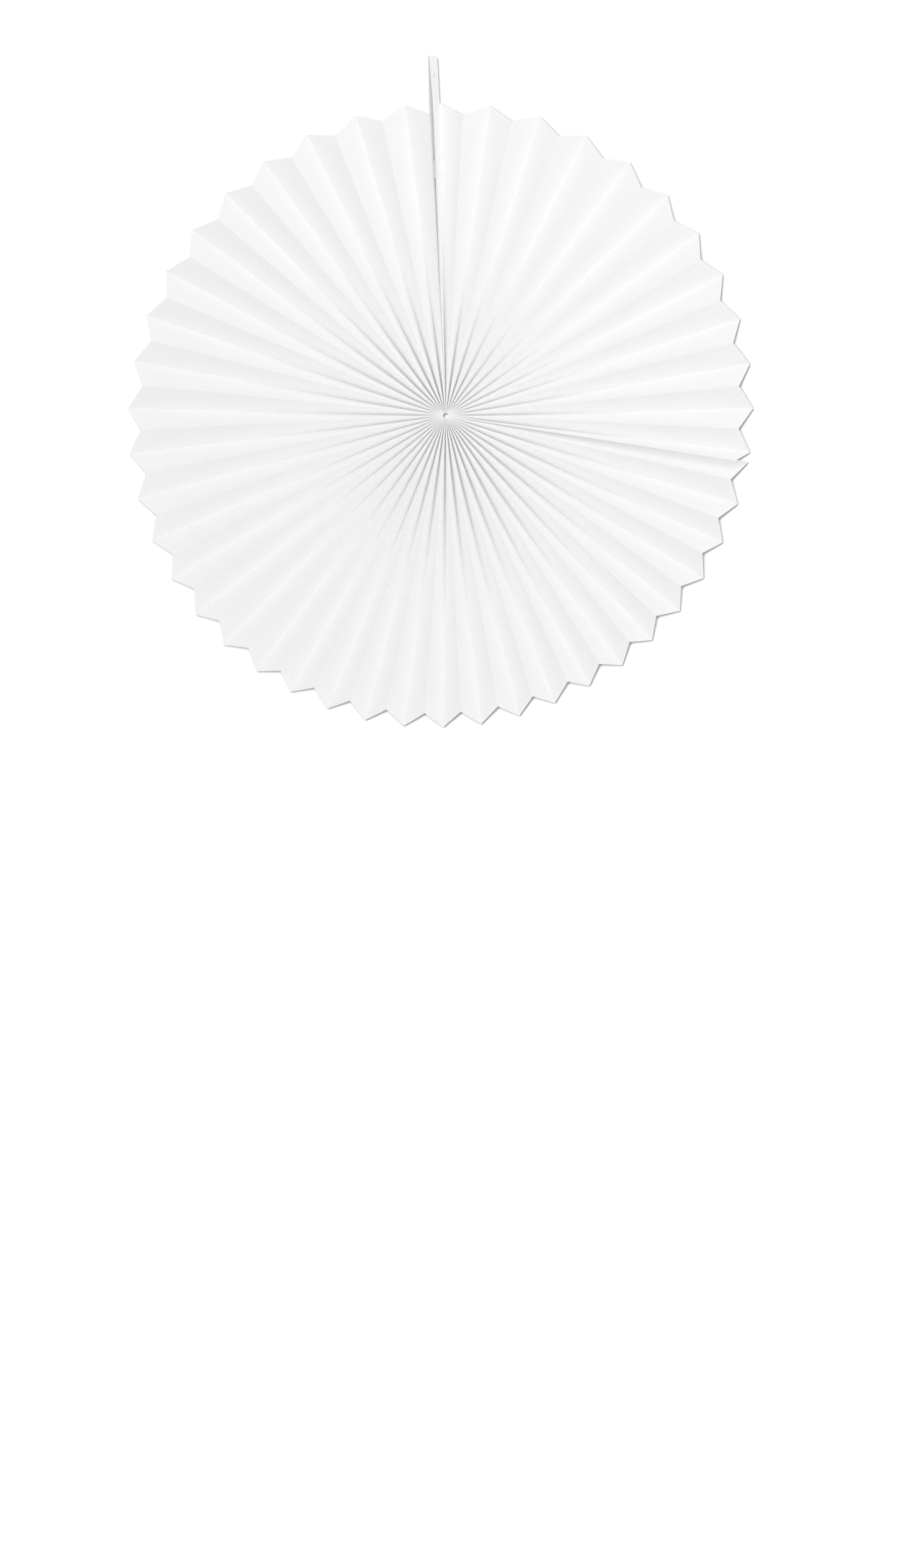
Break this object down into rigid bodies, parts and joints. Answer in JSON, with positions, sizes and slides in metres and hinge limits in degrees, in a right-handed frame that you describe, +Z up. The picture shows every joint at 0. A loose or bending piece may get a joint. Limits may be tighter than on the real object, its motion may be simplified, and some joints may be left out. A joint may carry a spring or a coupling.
{
  "type": "paper fan medallion",
  "caption": "Round hanging paper decoration: pleated sheets opened into a full wheel with a toothed edge, closed by two card strips whose ends form a tab with a hang hole.",
  "frame": {"origin": "the middle of the hang hole, half way between the two cards", "axes": "+Z up as it hangs, the front faces -Y, so the wheel's axis is along Y; +X to the viewer's right"},
  "size_m": [0.3998, 0.024, 0.4288],
  "materials": {
    "paper": "matte",
    "card": "matte",
    "foam": "matte",
    "thread": "matte"
  },
  "bodies": {
    "root": {"pleats_short": "paper", "pleats_long": "paper", "hanging_card": "card", "closing_card": "card", "foam_pad": "foam", "tie_thread": "thread"}
  },
  "joints": []
}
